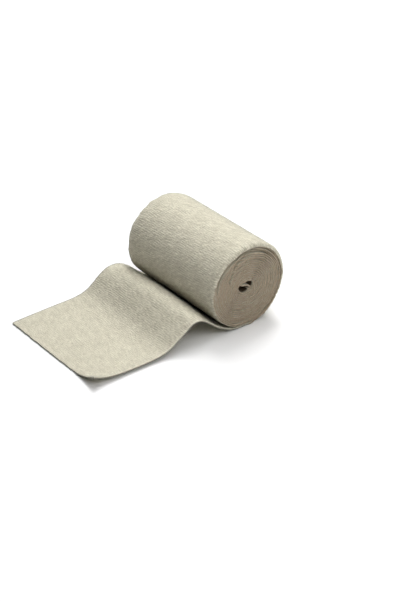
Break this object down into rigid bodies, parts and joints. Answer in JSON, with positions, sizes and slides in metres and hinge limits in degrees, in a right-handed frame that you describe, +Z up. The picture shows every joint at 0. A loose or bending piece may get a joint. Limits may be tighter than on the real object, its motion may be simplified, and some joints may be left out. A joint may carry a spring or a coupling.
{
  "type": "short stretch bandage roll",
  "caption": "Wound roll of crepe bandage lying on its side, with its loose end laid out over a soft hump and flat to the cut edge.",
  "frame": {"origin": "on the surface it rests on, under the middle of the whole part's box", "axes": "+Z up; the roll's axis runs along Y, with its near end at -Y; the loose end runs out towards -X"},
  "size_m": [0.1579, 0.1006, 0.06],
  "materials": {
    "wound_cloth": "pale beige cotton crepe, matt",
    "loose_cloth": "pale beige cotton crepe, matt"
  },
  "bodies": {
    "root": {"roll": "wound_cloth", "loose_end": "loose_cloth"}
  },
  "joints": []
}
